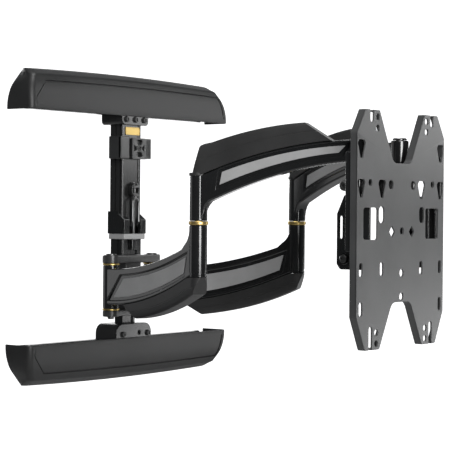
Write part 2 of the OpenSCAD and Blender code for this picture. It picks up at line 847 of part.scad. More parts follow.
module rivet(x, z) {
    outwards(x, plate_back, plate_back + plate_t, z, 2.5);
    outwards(x, plate_back + plate_t, plate_back + 4.2, z, 4);
}

module plate_rivets() {
    color("#8b8b8d")
        for (side = [-1, 1]) {
            for (z = [-32, 40]) rivet(side * 84, z);
            for (z = channel_rivets) rivet(side * 99, z);
        }
}

wall_plate_top();
wall_plate_bottom();
top_cover();
bottom_cover();
rail_bracket_top();
rail_bracket_bottom();
rail_bolts();
wall_rail();
rail_column();
rail_clamp();
cable_clip();
clip_screw();
blank_badge();
lift_screw();
lift_stirrup();
lift_bracket();
carriage_sleeve();
sleeve_band();
carriage_tube();
pivot_bracket();
wall_pin_left();
wall_pin_right();
wall_washers();
lower_arm_left();
lower_inlays_left();
lower_cable_cover_left();
elbow_pin_left();
elbow_washer_left();
lower_arm_right();
lower_inlays_right();
lower_cable_cover_right();
elbow_pin_right();
elbow_washer_right();
upper_arm_left();
upper_inlays_left();
upper_cable_cover_left();
upper_arm_right();
upper_inlays_right();
upper_cable_cover_right();
head_yoke();
head_pin_left();
head_pin_right();
head_washers();
tension_knob_left();
tension_knob_right();
tilt_pins();
tilt_bracket_left();
tilt_bracket_right();
tilt_bolts();
screen_plate();
plate_channel_left();
plate_channel_right();
plate_rivets();
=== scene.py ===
"""Looks of the full motion wall mount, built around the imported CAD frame.

The wall is at y = 0 and the room at -Y. Meshes are built in mm and scaled to metres by add().
"""

import json
import math

import bmesh
import bpy
from mathutils import Matrix, Vector


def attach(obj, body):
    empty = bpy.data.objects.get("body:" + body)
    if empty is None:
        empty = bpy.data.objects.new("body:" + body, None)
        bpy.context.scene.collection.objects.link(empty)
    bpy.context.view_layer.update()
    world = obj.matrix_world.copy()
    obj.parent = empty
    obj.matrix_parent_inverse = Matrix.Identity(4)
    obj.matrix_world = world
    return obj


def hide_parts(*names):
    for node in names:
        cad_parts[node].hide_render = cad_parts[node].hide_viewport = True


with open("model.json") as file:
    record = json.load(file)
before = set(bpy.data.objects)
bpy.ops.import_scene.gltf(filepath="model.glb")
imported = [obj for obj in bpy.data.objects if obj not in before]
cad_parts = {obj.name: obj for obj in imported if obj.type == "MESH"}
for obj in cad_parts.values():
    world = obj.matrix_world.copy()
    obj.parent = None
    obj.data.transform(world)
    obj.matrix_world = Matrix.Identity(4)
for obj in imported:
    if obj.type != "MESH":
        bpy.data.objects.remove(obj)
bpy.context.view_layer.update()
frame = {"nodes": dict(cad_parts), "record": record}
SLOT_OF = {s["node"]: s["material_slot"] for s in frame["record"]["subparts"]}
BODY_OF = {
    node: body
    for body, nodes in frame["record"]["behaviour"]["bodies"].items()
    for node in nodes
}
SCENE = bpy.context.scene
MM = 0.001
MERGE = 1e-4  # points nearer than this, in mm, are one

# Linkage, in mm, as in the CAD part.
PIVOT_X, PIVOT_Y, LINK, FOLD = 46.0, -38.0, 226.0, math.radians(18.3)
ELBOW_X = PIVOT_X + LINK * math.sin(FOLD)
ELBOW_Y = PIVOT_Y - LINK * math.cos(FOLD)
HEAD_Y = PIVOT_Y - 2 * LINK * math.cos(FOLD)
PLATE_Y = HEAD_Y - 32.0
PLATE_T = 2.5
PLATE_BACK = PLATE_Y + PLATE_T
PLATE_Z = -4.0
TILT_Y, TILT_Z = HEAD_Y + 7.1, -36.0
BARREL_R = 12.0
SIDES = ((-1, "left"), (1, "right"))


# ---------------------------------------------------------------- materials


def material(
    name, dark, light, rough, rough_spread, metal=0.0, coat=0.0, coat_rough=0.1,
    patch=18.0, grain=900.0, bump=0.08, stretch=(1, 1, 1), shine=0.5,
):
    """Paint, plastic or metal: colour and gloss vary in patches, and a fine grain gives it tooth."""
    mat = bpy.data.materials.new(name)
    mat.use_nodes = True
    nodes, links = mat.node_tree.nodes, mat.node_tree.links
    shader = nodes["Principled BSDF"]
    shader.inputs["Metallic"].default_value = metal
    shader.inputs["Specular IOR Level"].default_value = shine
    shader.inputs["Coat Weight"].default_value = coat
    shader.inputs["Coat Roughness"].default_value = coat_rough
    coords = nodes.new("ShaderNodeTexCoord")
    mapping = nodes.new("ShaderNodeMapping")
    mapping.inputs["Scale"].default_value = stretch
    links.new(coords.outputs["Object"], mapping.inputs["Vector"])

    def noise(scale, detail):
        n = nodes.new("ShaderNodeTexNoise")
        n.inputs["Scale"].default_value = scale
        n.inputs["Detail"].default_value = detail
        links.new(mapping.outputs["Vector"], n.inputs["Vector"])
        return n

    patches, fine = noise(patch, 3.0), noise(grain, 2.0)
    ramp = nodes.new("ShaderNodeValToRGB")
    ramp.color_ramp.elements[0].position = 0.35
    ramp.color_ramp.elements[1].position = 0.65
    ramp.color_ramp.elements[0].color = (*dark, 1)
    ramp.color_ramp.elements[1].color = (*light, 1)
    blend = nodes.new("ShaderNodeMix")
    blend.inputs["Factor"].default_value = 0.35
    links.new(patches.outputs["Fac"], blend.inputs["A"])
    links.new(fine.outputs["Fac"], blend.inputs["B"])
    links.new(blend.outputs["Result"], ramp.inputs["Fac"])
    links.new(ramp.outputs["Color"], shader.inputs["Base Color"])
    gloss = nodes.new("ShaderNodeMapRange")
    gloss.inputs["To Min"].default_value = rough - rough_spread
    gloss.inputs["To Max"].default_value = rough + rough_spread
    links.new(blend.outputs["Result"], gloss.inputs["Value"])
    links.new(gloss.outputs["Result"], shader.inputs["Roughness"])
    tooth = nodes.new("ShaderNodeBump")
    tooth.inputs["Strength"].default_value = bump
    tooth.inputs["Distance"].default_value = 0.0002
    links.new(fine.outputs["Fac"], tooth.inputs["Height"])
    links.new(tooth.outputs["Normal"], shader.inputs["Normal"])
    return mat


def grey(v, tint=0.0):
    return (v * (1 - tint), v, v * (1 + tint))


MATERIALS = {
    name: material(name, dark, light, rough, spread, **more)
    for name, dark, light, rough, spread, more in (
        ("gloss_black", grey(0.004, 0.03), grey(0.007, 0.03), 0.17, 0.04,
         dict(coat=0.2, coat_rough=0.08, bump=0.012, shine=0.4)),
        ("satin_grey", grey(0.19), grey(0.25), 0.44, 0.06, dict(metal=0.1, grain=1600, bump=0.12)),
        ("plate_grey", grey(0.036, 0.01), grey(0.05, 0.01), 0.36, 0.05,
         dict(metal=0.3, grain=1800, bump=0.12)),
        ("rail_black", grey(0.009), grey(0.016), 0.2, 0.05,
         dict(metal=0.2, stretch=(1, 1, 0.05), bump=0.06)),
        ("cover_plastic", grey(0.008, 0.01), grey(0.012, 0.01), 0.46, 0.05,
         dict(grain=1300, bump=0.3, shine=0.28)),
        ("cable_plastic", grey(0.01), grey(0.016), 0.42, 0.05, dict(grain=1300, bump=0.3, shine=0.4)),
        ("clip_plastic", grey(0.009, 0.02), grey(0.016, 0.02), 0.3, 0.06, dict(bump=0.15)),
        ("brass", (0.4, 0.29, 0.1), (0.54, 0.39, 0.15), 0.36, 0.06, dict(metal=1.0, bump=0.05)),
        ("steel", grey(0.12), grey(0.2), 0.3, 0.08, dict(metal=1.0, bump=0.06)),
        ("dark_steel", grey(0.03), grey(0.06), 0.32, 0.08, dict(metal=0.6, bump=0.08)),
        ("knob_black", grey(0.012), grey(0.02), 0.36, 0.06, dict(bump=0.15)),
    )
}


# ---------------------------------------------------------------- mesh tools

# An outline drawn in XY is turned to be seen from the room (XZ) or from the side (YZ).
XZ = Matrix(((1, 0, 0, 0), (0, 0, -1, 0), (0, 1, 0, 0), (0, 0, 0, 1)))
YZ = Matrix(((0, 0, 1, 0), (1, 0, 0, 0), (0, 1, 0, 0), (0, 0, 0, 1)))


def shift(x, y, z):
    return Matrix.Translation((x, y, z))


def evaluated(curve):
    """The mesh of a curve, with its doubled points merged; the curve is removed."""
    holder = bpy.data.objects.new(curve.name, curve)
    SCENE.collection.objects.link(holder)
    graph = bpy.context.evaluated_depsgraph_get()
    mesh = bpy.data.meshes.new_from_object(holder.evaluated_get(graph))
    bpy.data.objects.remove(holder)
    bpy.data.curves.remove(curve)
    bm = bmesh.new()
    bm.from_mesh(mesh)
    bpy.data.meshes.remove(mesh)
    bmesh.ops.remove_doubles(bm, verts=bm.verts, dist=MERGE)
    return bm


def slab(loops, half, rim, rings=2, place=Matrix()):
    """A plate between -half and half with rounded rims: an outline, then its holes."""
    curve = bpy.data.curves.new("outline", "CURVE")
    curve.dimensions, curve.fill_mode = "2D", "BOTH"
    curve.extrude, curve.bevel_depth, curve.offset = half - rim, rim, -rim
    curve.bevel_resolution = rings
    for loop in loops:
        spline = curve.splines.new("POLY")
        spline.points.add(len(loop) - 1)
        for point, co in zip(spline.points, loop):
            point.co = (co[0], co[1], 0, 1)
        spline.use_cyclic_u = True
    bm = evaluated(curve)
    bm.transform(place)
    return bm


def lathe(profile, segments=48, place=Matrix()):
    """A turned part about local Z, from (radius, height) points."""
    bm = bmesh.new()
    rings = []
    for r, z in profile:
        if r <= 0:
            rings.append([bm.verts.new((0, 0, z))])
        else:
            rings.append([
                bm.verts.new((r * math.cos(a), r * math.sin(a), z))
                for a in (2 * math.pi * i / segments for i in range(segments))
            ])
    for low, high in zip(rings, rings[1:]):
        for i in range(segments):
            j = (i + 1) % segments
            if len(low) == 1 and len(high) > 1:
                bm.faces.new((low[0], high[j], high[i]))
            elif len(high) == 1 and len(low) > 1:
                bm.faces.new((low[i], low[j], high[0]))
            elif len(low) > 1:
                bm.faces.new((low[i], low[j], high[j], high[i]))
    bm.transform(place)
    return bm


def rod(r, z0, z1, edge=0.8):
    """Profile of a solid round bar with softened ends."""
    c = edge * 0.3
    return [
        (0, z0), (r - edge, z0), (r - c, z0 + c), (r, z0 + edge),
        (r, z1 - edge), (r - c, z1 - c), (r - edge, z1), (0, z1),
    ]


def ring(r0, r1, z0, z1, edge=0.5):
    """Profile of a washer."""
    return [
        (r0, z0), (r1 - edge, z0), (r1, z0 + edge), (r1, z1 - edge),
        (r1 - edge, z1), (r0, z1), (r0, z0),
    ]


def loft(sections, place=Matrix()):
    """Skin over closed sections with the same number of points, closed at both ends."""
    bm = bmesh.new()
    rows = [[bm.verts.new(p) for p in s] for s in sections]
    n = len(rows[0])
    for low, high in zip(rows, rows[1:]):
        for i in range(n):
            j = (i + 1) % n
            bm.faces.new((low[i], low[j], high[j], high[i]))
    bm.faces.new(rows[0][::-1])
    bm.faces.new(rows[-1])
    bm.transform(place)
    return bm


def box(x0, x1, y0, y1, z0, z1, edge=0.6):
    """A block with rounded edges, given by its two corners."""
    half = (z1 - z0) / 2
    corners = [(x0, y0), (x1, y0), (x1, y1), (x0, y1)]
    edge = min(edge, half * 0.8, (x1 - x0) * 0.4, (y1 - y0) * 0.4)
    outline = rounded([(x, y, edge * 1.2) for x, y in corners], 3)
    return slab([outline], half, edge, 1, shift(0, 0, (z0 + z1) / 2))


def rounded(points, steps=5):
    """Corners (x, y, radius) turned into a loop."""
    loop = []
    n = len(points)
    for i, (x, y, r) in enumerate(points):
        p = Vector((x, y))
        a = (Vector(points[i - 1][:2]) - p).normalized()
        b = (Vector(points[(i + 1) % n][:2]) - p).normalized()
        if r <= 0:
            loop.append((x, y))
            continue
        half = math.acos(max(-1, min(1, a.dot(b)))) / 2
        centre = p + (a + b).normalized() * r / math.sin(half)
        start = p + a * r / math.tan(half) - centre
        end = p + b * r / math.tan(half) - centre
        a0 = math.atan2(start.y, start.x)
        turn = (math.atan2(end.y, end.x) - a0 + 3 * math.pi) % (2 * math.pi) - math.pi
        loop += [
            (centre.x + r * math.cos(a), centre.y + r * math.sin(a))
            for a in (a0 + turn * k / steps for k in range(steps + 1))
        ]
    return loop


def circle(x, y, r, steps=28):
    angles = (2 * math.pi * i / steps for i in range(steps))
    return [(x + r * math.cos(a), y + r * math.sin(a)) for a in angles]


def obround(u, v0, v1, r):
    """An upright slot with round ends, from v0 to v1."""
    arc = [math.pi * i / 10 for i in range(11)]
    return [(u - r * math.cos(a), v1 - r + r * math.sin(a)) for a in arc] + [
        (u + r * math.cos(a), v0 + r - r * math.sin(a)) for a in arc
    ]


def joined(*parts):
    """The parts in one mesh; the parts are freed."""
    out = bmesh.new()
    for part in parts:
        mesh = bpy.data.meshes.new("join")
        part.to_mesh(mesh)
        part.free()
        out.from_mesh(mesh)
        bpy.data.meshes.remove(mesh)
    return out


def add(name, bm, slot, *nodes, body=None, sharp=32):
    """Turns a mesh in mm into a piece that stands for the given CAD nodes."""
    bmesh.ops.recalc_face_normals(bm, faces=bm.faces)
    bm.transform(Matrix.Scale(MM, 4))
    limit = math.radians(sharp)
    for face in bm.faces:
        face.smooth = True
    for edge in bm.edges:
        edge.smooth = len(edge.link_faces) == 2 and edge.calc_face_angle(0) < limit
    mesh = bpy.data.meshes.new(name)
    bm.to_mesh(mesh)
    bm.free()
    obj = bpy.data.objects.new(name, mesh)
    SCENE.collection.objects.link(obj)
    mesh.materials.append(MATERIALS[slot])
    weights = obj.modifiers.new("weights", "WEIGHTED_NORMAL")
    weights.keep_sharp = True
    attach(obj, body or BODY_OF[nodes[0]])
    if nodes:
        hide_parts(*nodes)
    return obj


# ---------------------------------------------------------------- wall covers

COVER_HALF, COVER_LOW, COVER_TOP, COVER_END, COVER_WALL = 224.5, 162.5, 224.5, 221.0, 2.2
COVER_LEAN = 166.0  # the ends and the front start to lean in here, over COVER_RISE
COVER_RISE = 56.0
FRONT_RUN, BACK_RUN = 15.5, 29  # how far an end leans in, at its front and at the wall
PANEL_LOW, PANEL_TOP, PANEL_END = 168, 205.6, 204.0  # the sunk panel on the front
GROOVE, PANEL_SINK = 1.9, 0.7
COVER_FRONT = [  # (height, depth) of the rounded crest
    (215.0, 34.5), (217.0, 31.2), (218.6, 28.0), (220.4, 25.0), (222.2, 21.6), (223.6, 17.6), (224.5, 12.0),
]
COVER_LEVELS = [
    162.5, 163.1, 164.0, 168, 172, 176, 180, 184, 188, 192, 196, 199.5, 202.0, 203.6, 204.2, 205.4, 206.2,
    209, 212, 215, 217, 218.6, 220.4, 222.2, 223.6, 224.4,
]


def cover_depth(z):
    """How far the cover stands off the wall at height z."""
    if z <= COVER_FRONT[0][0]:
        return 46.0 - 15.0 * (max(0.0, z - COVER_LEAN) / COVER_RISE) ** 2
    for (z0, d0), (z1, d1) in zip(COVER_FRONT, COVER_FRONT[1:]):
        if z <= z1:
            return d0 + (d1 - d0) * (z - z0) / (z1 - z0)
    return COVER_FRONT[-1][1]


def cover_section(z, d):
    """Points across a cover at height z, from its left back edge round the front to its right one.

    d is how far the section lies inside the outer skin.
    """
    t = max(0.0, (z - COVER_LEAN) / COVER_RISE)
    front = COVER_HALF - FRONT_RUN * t * t - d
    back = COVER_HALF - BACK_RUN * t * t - d
    depth = cover_depth(z) - d
    r = min(8.0 - d * 0.6, depth * 0.4)
    corner = rounded([(-back, 0, 0), (-front, -depth, r), (0, -depth, 0)], 8)[1:-1]
    side = [(-back + (corner[0][0] + back) * f, corner[0][1] * f) for f in (0, 0.35, 0.7)]
    start = max(-188.0 - max(0.0, 205.4 - z) * 0.95, corner[-1][0] + 2)
    end = front - 11.0
    low = max(0.0, min(1.0, (z - PANEL_LOW) / 8.0))
    groove, sink = (0.0, 0.0) if z > PANEL_TOP or d else (GROOVE * low, PANEL_SINK * low)
    if PANEL_END < z <= PANEL_TOP and not d:
        sink = groove
    face = [(start - 0.5, -depth), (start + 0.3, -depth + groove)]
    face += [(start + 1.3, -depth + groove), (start + 2.1, -depth + sink)]
    face += [(start + 4 + (end - start - 8) * i / 28, -depth + sink) for i in range(29)]
    face += [(end - 2.1, -depth + sink), (end - 1.3, -depth + groove)]
    face += [(end - 0.3, -depth + groove), (end + 0.5, -depth)]
    other = [(-x, y) for x, y in (side + corner)[::-1]]
    return side + corner + face + other


def cover_mesh(side):
    """One shell, open towards the wall and the rail; side is -1 for the lower one."""
    bm = bmesh.new()

    def skin(d, top, lip):
        rows = []
        for z in COVER_LEVELS + [top]:
            z = min(z, top)
            in_lip = lip * max(0.0, 1 - (z - COVER_LOW) / 1.5) ** 2
            lift = max(0.0, min(1.0, (z - 190) / 25.0))
            arch = (COVER_TOP - COVER_END) * (lift * lift * (3 - 2 * lift))
            rows.append([
                bm.verts.new((x, min(y, 0.0), z - arch * min(1.0, (x / 206.5) ** 2)))
                for x, y in cover_section(z, d + in_lip)
            ])
        for low, high in zip(rows, rows[1:]):
            for i in range(len(low) - 1):
                bm.faces.new((low[i], low[i + 1], high[i + 1], high[i]))
        n = len(rows[-1])
        for i in range(n // 2 - 1):
            bm.faces.new((rows[-1][i], rows[-1][i + 1], rows[-1][n - 2 - i], rows[-1][n - 1 - i]))
        return rows

    outer = skin(0.0, COVER_TOP, 0.7)
    inner = skin(COVER_WALL, COVER_TOP - COVER_WALL, -0.5)
    for i in range(len(outer[0]) - 1):
        bm.faces.new((outer[0][i], inner[0][i], inner[0][i + 1], outer[0][i + 1]))
    for k in range(len(outer) - 1):
        for e in (0, -1):
            bm.faces.new((outer[k][e], outer[k + 1][e], inner[k + 1][e], inner[k][e]))
    bm.faces.new((outer[-1][0], outer[-1][-1], inner[-1][-1], inner[-1][0]))
    if side < 0:
        bm.transform(Matrix.Diagonal((1, 1, -1, 1)))
    return bm


add("upper_wall_cover", cover_mesh(1), "cover_plastic", "top_cover", sharp=40)
add("lower_wall_cover", cover_mesh(-1), "cover_plastic", "bottom_cover", sharp=40)


# ---------------------------------------------------------------- rail, brackets and clamp


def plan_block(loops, z0, z1, edge=0.8):
    """Outline seen from above, standing from z0 to z1."""
    return slab(loops, (z1 - z0) / 2, edge, 2, shift(0, 0, (z0 + z1) / 2))


def face_block(loops, y0, y1, edge=0.8):
    """Outline seen from the room, from y0 back to y1."""
    return slab(loops, (y1 - y0) / 2, edge, 2, shift(0, (y0 + y1) / 2, 0) @ XZ)


def side_block(loops, x0, x1, edge=0.8):
    """Outline seen from the side as (y, z), from x0 to x1."""
    return slab(loops, (x1 - x0) / 2, edge, 2, shift((x0 + x1) / 2, 0, 0) @ YZ)


def rect(x0, x1, y0, y1, r=1.0, steps=3):
    return rounded([(x0, y0, r), (x1, y0, r), (x1, y1, r), (x0, y1, r)], steps)


def cap_screw(x, y, z, r, h):
    """Head facing the room, with a hexagon socket."""
    s = r * 0.5
    profile = [
        (0, h - 1.5), (s, h - 1.5), (s, h - 0.25), (s + 0.3, h), (r - 0.7, h), (r - 0.2, h - 0.3),
        (r, h - 0.8), (r, 0.1), (0, 0.1),
    ]
    return lathe(profile, 36, shift(x, y, z) @ XZ)


rail = [
    (-22, -14), (22, -14), (22, -22.5), (20.4, -22.5), (20.4, -25.5), (22, -25.5), (22, -31.5),
    (20.4, -31.5), (20.4, -34.2), (22, -34.5), (21.6, -35.3), (20.6, -36.2), (18.8, -37.1), (16.6, -37.8),
    (14.4, -38), (14, -37.6), (14, -35.6), (11.2, -35.6), (11.2, -38), (-20.8, -38), (-22, -36.8),
    (-22, -34.5), (-20.4, -34.5), (-20.4, -31.5), (-22, -31.5), (-22, -25.5), (-20.4, -25.5),
    (-20.4, -22.5), (-22, -22.5),
]
add("extruded_wall_rail", plan_block([rail], 1.0, 186.0, 0.3), "rail_black", "wall_rail")
column = [(-14, -33), (-10, -33), (-10, -31), (10, -31), (10, -33), (14, -33), (14, -18), (-14, -18)]
add("inner_column", plan_block([column], -176.0, 60.0, 0.4), "rail_black", "rail_column")


def folded_bracket(half, shelf, corner, holes, sign):
    """A pressed bracket that reaches into a cover: a front wall and a shelf with rounded corners."""

    def outline_to(half, shelf, corner, top):
        low = [(-half, shelf, corner), (half, shelf, corner)]
        return rounded(low + [(half, top, 0.5), (-half, top, 0.5)], 8)

    outline = outline_to(half, shelf, corner, 169)
    inner = outline_to(half - 3, shelf + 3, corner - 2, 166)
    front = face_block([outline] + holes, -43.5, -40.5, 0.8)
    wall = face_block([outline, inner], -42.6, -3.0, 0.8)
    bm = joined(front, wall)
    if sign < 0:
        bm.transform(Matrix.Diagonal((1, 1, -1, 1)))
    return bm


add("upper_rail_bracket", folded_bracket(30, 150, 6, [], 1), "rail_black", "rail_bracket_top")
lower_bracket = folded_bracket(40, 142, 14, [circle(12, 156, 3.4, 24)], -1)
add("lower_rail_bracket", lower_bracket, "rail_black", "rail_bracket_bottom")
screws = [
    cap_screw(x, -43.5, z, 4.4, 3.0)
    for x, z in ((-20, 158), (0, 158), (20, 158), (-24, -157.5), (32, -157.5))
]
add("bracket_screws", joined(*screws), "dark_steel", "rail_bolts")

clamp = joined(
    face_block([rect(-33, -13.2, 100, 133, 1.2)], -44.0, -38.3, 1.6),
    side_block([rect(-44.0, -20.0, 100, 133, 1.2)], -33.0, -30.2, 1.0),
    face_block([rect(22.6, 37, 101, 131, 1.2)], -43.1, -38.3, 0.8),
    side_block([rect(-43.1, -20.0, 101, 131, 1.2)], 34.2, 37.0, 0.8),
    *[face_block([rect(x, x + 1.7, 103, 129, 0.5)], -44.0, -42.6, 0.5) for x in (24.2, 27.2, 30.2, 33.2)],
)
add("sheet_clamp", clamp, "clip_plastic", "rail_clamp")
petals = [
    [(1.5, 121.6), (10.5, 121.6), (12.6, 126.8), (9, 128.6), (3, 128.6), (-0.6, 126.8)],
    [(-0.6, 105.2), (3, 103.4), (9, 103.4), (12.6, 105.2), (10.5, 110.4), (1.5, 110.4)],
    [(-6.2, 111.5), (-0.4, 114.2), (-0.4, 117.8), (-6.2, 120.5)],
    [(12.4, 114.2), (17.4, 111.5), (17.4, 120.5), (12.4, 117.8)],
]
clip = joined(
    face_block([rect(-10, 21.4, 100, 131, 1.5)] + petals + [circle(6, 116, 3.3, 24)], -46.5, -41.5, 0.9),
    face_block([rect(-9, 20.4, 101, 130, 1.0)], -42.4, -38.1, 0.4),
    lathe([(3.3, 0), (3.3, 0.5), (4.9, 0.5), (5.4, 0), (5.4, -1), (3.3, -1)], 32, shift(6, -46.0, 116) @ XZ),
)
add("cable_clip_block", clip, "clip_plastic", "cable_clip")
add("clip_fastener", joined(cap_screw(6, -43.6, 116, 2.9, 2.2)), "dark_steel", "clip_screw")
badge = joined(
    face_block([rect(-17, 15, 135.5, 147, 1.5), rect(-15.8, 13.8, 136.7, 145.8, 1.0)], -39.2, -38.0, 0.3),
    face_block([rect(-16.2, 14.2, 136.3, 146.2, 1.0)], -38.7, -38.0, 0.2),
)
add("blank_brass_badge", badge, "brass", "blank_badge")


def tube(points, r):
    """A round wire along the points."""
    curve = bpy.data.curves.new("tube", "CURVE")
    curve.dimensions, curve.use_fill_caps = "3D", True
    curve.bevel_depth, curve.bevel_resolution = r, 3
    spline = curve.splines.new("POLY")
    spline.points.add(len(points) - 1)
    for point, co in zip(spline.points, points):
        point.co = (*co, 1)
    return evaluated(curve)


lift_block = joined(
    face_block([rect(-9, 9, 45, 62, 4.5, 6), rect(-5.4, 5.4, 50, 57, 0.8)], -46.0, -38.2, 1.8),
    lathe([(2.1, 0), (5.2, 0), (6.0, -0.8), (6.0, -3.4), (2.1, -3.4)], 32, shift(0, -41, 64.5)),
)
add("lift_block", lift_block, "rail_black", "lift_bracket")
thread = [(0, -30), (1.6, -30)]
for turn in range(63):
    z = -29.5 + turn * 1.5
    thread += [(2.0, z), (2.0, z + 0.3), (1.6, z + 0.75), (1.6, z + 1.05)]
thread += [(1.6, 65.5), (1.2, 66), (0, 66)]
nut = slab([circle(0, 0, 2.8, 6)], 3.5, 0.3, 1, shift(0, -41, 53.5))
add("lift_thread", joined(lathe(thread, 18, shift(0, -41, 0)), nut), "steel", "lift_screw")
arch = [(7 * math.cos(math.pi * i / 14), -44.7, 35 + 7 * math.sin(math.pi * i / 14)) for i in range(15)]
stirrup = joined(tube([(7, -44.7, 8)] + arch + [(-7, -44.7, 8)], 1.3), box(-2, 2, -45.6, -43.8, 42, 45, 0.5))
add("stirrup_wire", stirrup, "steel", "lift_stirrup")


# ---------------------------------------------------------------- carriage

prong = [(-44.5, -10, 0.4), (-12.2, -10, 0.4), (-12.2, 23, 1.2), (-28.4, 23, 1.6), (-44.5, 11, 1.6)]
front_prong = [(-44.5, -10, 0.4), (-38.6, -10, 0.4), (-38.6, 15.4, 0.6), (-44.5, 11, 1.2)]
walls = []
for side in (-1, 1):
    lo, hi = sorted((side * 22.6, side * 25.0))
    walls.append(side_block([rounded(prong, 3)], lo, hi, 1.1))
    lo, hi = sorted((side * 13.0, side * 24.6))
    walls.append(side_block([rounded(front_prong, 3)], lo, hi, 0.9))
walls.append(box(-25, 25, -13.4, -12.0, -10, 23, 0.5))
add("sliding_sleeve", joined(*walls), "gloss_black", "carriage_sleeve")
hole = [(-14.6, -33.6), (14.6, -33.6), (14.6, -17.4), (-14.6, -17.4)]
collar = plan_block([rect(-24, 24, -44, -12.5, 2.5), hole, circle(0, -41, 2.5, 20)], -18.0, -10.0, 0.9)
add("sleeve_collar", collar, "satin_grey", "sleeve_band")
tube_plan = [
    (-21.5, -15.5), (21.5, -15.5), (21.5, -28), (20, -28), (20, -33), (21.5, -33), (21.5, -37),
    (19.5, -39), (10.5, -39), (9.5, -37.4), (-9.5, -37.4), (-10.5, -39), (-19.5, -39), (-21.5, -37),
    (-21.5, -33), (-20, -33), (-20, -28), (-21.5, -28),
]
lower_tube = joined(
    plan_block([tube_plan, hole], -41.0, -18.0, 0.4),
    plan_block([rect(-6, 6, -44, -37, 2, 4), circle(0, -41, 2.5, 20)], -34.0, -18.0, 0.7),
)
add("carriage_lower_tube", lower_tube, "gloss_black", "carriage_tube")
ear = rect(-58.8, 58.8, -50.8, -25.2, 12.7, 14)
foot = rect(-58, 58, -50, -26, 11.9, 14)
bores = [circle(side * PIVOT_X, PIVOT_Y, 5.2, 28) for side in (-1, 1)]
hub = [
    lathe(ring(5.2, r, z0, z1, 1.0), place=shift(side * PIVOT_X, PIVOT_Y, 0))
    for side in (-1, 1)
    for r, z0, z1 in ((12.8, -53, -40.9), (12, -130.4, -121))
]
pivot = joined(
    plan_block([ear, hole] + bores, -52.6, -41.4, 1.6),
    plan_block([foot, hole] + bores, -129.6, -121.4, 1.4),
    plan_block([rect(-17.5, 17.5, -42, -14.5, 2.0), hole], -128.0, -44.0, 0.8),
    *hub,
)
add("pivot_casting", pivot, "dark_steel", "pivot_bracket")
pin = [
    (0, -134), (3.6, -134), (4.6, -133), (5, -132), (5, -41), (7.2, -41), (8, -40.4), (8, -39.6),
    (7.2, -39), (3, -39), (2.6, -39.8), (0, -39.8),
]
for side, word in SIDES:
    at = shift(side * PIVOT_X, PIVOT_Y, 0)
    add(f"wall_pivot_pin_{word}", lathe(pin, 40, at), "steel", f"wall_pin_{word}")
washers = [
    lathe(ring(5.1, 12.6, z0, z1, 0.5), place=shift(side * PIVOT_X, PIVOT_Y, 0))
    for side in (-1, 1)
    for z0, z1 in ((-55.4, -53.0), (-121.0, -118.6))
]
add("wall_pivot_washers", joined(*washers), "brass", "wall_washers")


# ---------------------------------------------------------------- arms


def spread(a, b, n=24):
    return [a + (b - a) * i / n for i in range(n + 1)]


def low_top(s):
    return -60 + 43 * (max(0.0, s) / LINK) ** 2.2


def low_base(s):
    return -113 + 51 * (s / LINK) ** 2


def low_cover(s):
    return -132 + 42.5 * (s / LINK) ** 2.5


def up_top(s):
    return 118.5 - 49 * (max(0.0, LINK - s) / LINK) ** 2


def up_base(s):
    return 90 - 62 * (max(0.0, LINK - s) / LINK) ** 1.8


def up_cover(s):
    return 112 + 0.18 * s + 5.8 * max(0.0, 1 - ((s - 93) / 72) ** 2)


def lower_outline():
    reach = LINK - BARREL_R
    pts = [(s, low_base(s)) for s in spread(0, LINK)]
    pts += [(LINK, 4), (reach + 3.4, 4), (reach + 3.2, -3), (reach + 2.2, -8)]
    pts += [(reach, -12.8), (reach - 3.4, -17.2), (reach - 8, -21)]
    pts += [(s, low_top(s)) for s in spread(reach - 15, 0)]
    return pts


def lower_inlay(d, start=8.5):
    pts = [(s, low_base(s) + 8.5 + d) for s in spread(start + 1.6 * d, 205.5 - d)]
    pts += [(s, low_top(s) - 12.0 - d) for s in spread(211.5 - d, 42 + (start - 8.5) * 0.6 + 0.6 * d)]
    return pts


def upper_outline():
    pts = [(0, 11.5), (8.6, 11.5), (8.8, 18), (10.2, 25), (13.2, 31.5), (18, 37)]
    pts += [(s, up_base(s)) for s in spread(26, LINK)]
    pts += [(s, up_top(s)) for s in spread(LINK, 0)]
    return pts


def upper_inlay(d, start=29.5):
    pts = [(s, up_base(s) + 13.5 - 3.5 * (s - 30) / 170 + d) for s in spread(start + d, 198 - d)]
    pts += [(s, up_top(s) - 4.9 - d) for s in spread(210 - d * 2, 33 + start - 29.5 + d)]
    return pts


def arm_place(kind, side):
    if kind == "lower":
        return shift(side * PIVOT_X, PIVOT_Y, 0) @ Matrix.Rotation(math.radians(270) + side * FOLD, 4, "Z")
    return shift(side * ELBOW_X, ELBOW_Y, 0) @ Matrix.Rotation(math.radians(270) - side * FOLD, 4, "Z")


def arm_body(outline, inlay, rods):
    """Cast frame with a rounded rim round the inlay field, a sunk web, and turned posts."""
    frame_part = slab([outline(), inlay(-1.2)], 10.3, 2.6, 4, XZ)
    web = slab([inlay(-4)], 8.0, 0.4, 1, XZ)
    return joined(frame_part, web, *[lathe(p, 56, place=shift(x, 0, 0)) for x, p in rods])


def inlays(inlay, start):
    return joined(*[
        slab([inlay(2.6, start)], 0.75, 0.5, 2, shift(0, side * 8.35, 0) @ XZ) for side in (-1, 1)
    ])


COVER_PROFILE = [  # (share of the way from the arm to the far edge, share of the half width)
    (0.0, 1.0), (0.3, 1.0), (0.5, 0.995), (0.52, 0.955), (0.55, 0.955), (0.575, 0.985), (0.8, 0.95),
    (0.92, 0.9), (0.975, 0.82), (1.0, 0.66),
]


